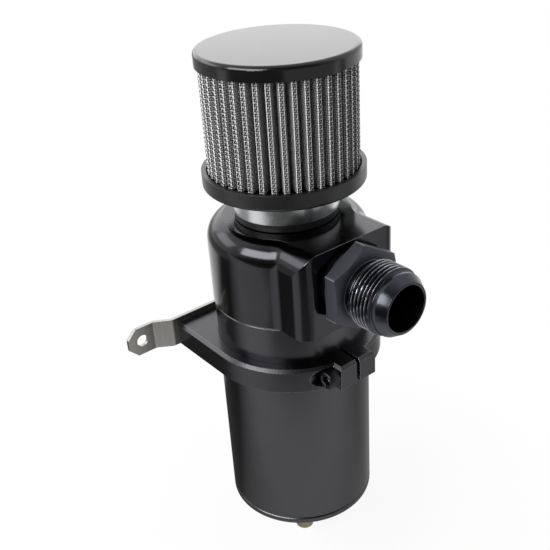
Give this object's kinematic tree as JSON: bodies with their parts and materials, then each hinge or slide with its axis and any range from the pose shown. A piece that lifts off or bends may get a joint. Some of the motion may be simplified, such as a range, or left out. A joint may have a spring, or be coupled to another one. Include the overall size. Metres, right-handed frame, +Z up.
{
  "type": "oil catch can",
  "caption": "Black anodised oil catch can with a breather filter on top, a flare inlet, a split clamp bracket and a stainless wall strap",
  "frame": {"origin": "midway between the strap's two holes, on the wall face of its tabs", "axes": "+Z up along the can, -Y out of the inlet, +Y into the wall, +X to the right seen from the inlet side"},
  "size_m": [0.1476, 0.13, 0.2926],
  "materials": {
    "black_anodised": "satin black anodised",
    "fitting_anodised": "blue-black anodised",
    "bare_aluminium": "mill finish",
    "seal_rubber": "matte moulded",
    "brass": "dull turned",
    "stainless": "brushed",
    "black_oxide_steel": "black oxide",
    "black_painted_steel": "satin black",
    "filter_cotton": "oiled gauze under wire mesh"
  },
  "bodies": {
    "bracket": {"clamp_bracket": "black_anodised", "clamp_bolt": "black_oxide_steel", "mounting_strap": "stainless", "strap_screws": "stainless"},
    "can": {"canister": "black_anodised", "base_cap": "black_anodised", "base_oring": "seal_rubber", "drain_cock_body": "brass", "head": "black_anodised", "head_oring": "seal_rubber", "baffle_plate": "bare_aluminium", "baffle_screws": "stainless", "inlet_fitting": "fitting_anodised", "fitting_oring": "seal_rubber", "filter_base": "seal_rubber", "filter_media": "filter_cotton", "filter_support": "stainless", "filter_cap": "black_painted_steel", "hose_clamp_band": "stainless", "hose_clamp_housing": "stainless"},
    "drain_key": {"drain_cock_key": "brass", "drain_cock_nut": "brass"},
    "worm_screw": {"hose_clamp_screw": "stainless"}
  },
  "joints": [
    {"name": "can_swivel", "type": "hinge", "parent": "bracket", "child": "can", "pos_m": [0, -0.0485, 0], "axis": [0, 0, 1], "continuous": true},
    {"name": "drain_key_turn", "type": "hinge", "parent": "can", "child": "drain_key", "pos_m": [0, -0.0485, -0.1204], "axis": [-1, 0, 0], "range_deg": [0, 90]},
    {"name": "worm_screw_turn", "type": "hinge", "parent": "can", "child": "worm_screw", "pos_m": [0.0301, -0.05381, 0.0792], "axis": [0.1736, 0.9848, 0], "continuous": true}
  ]
}
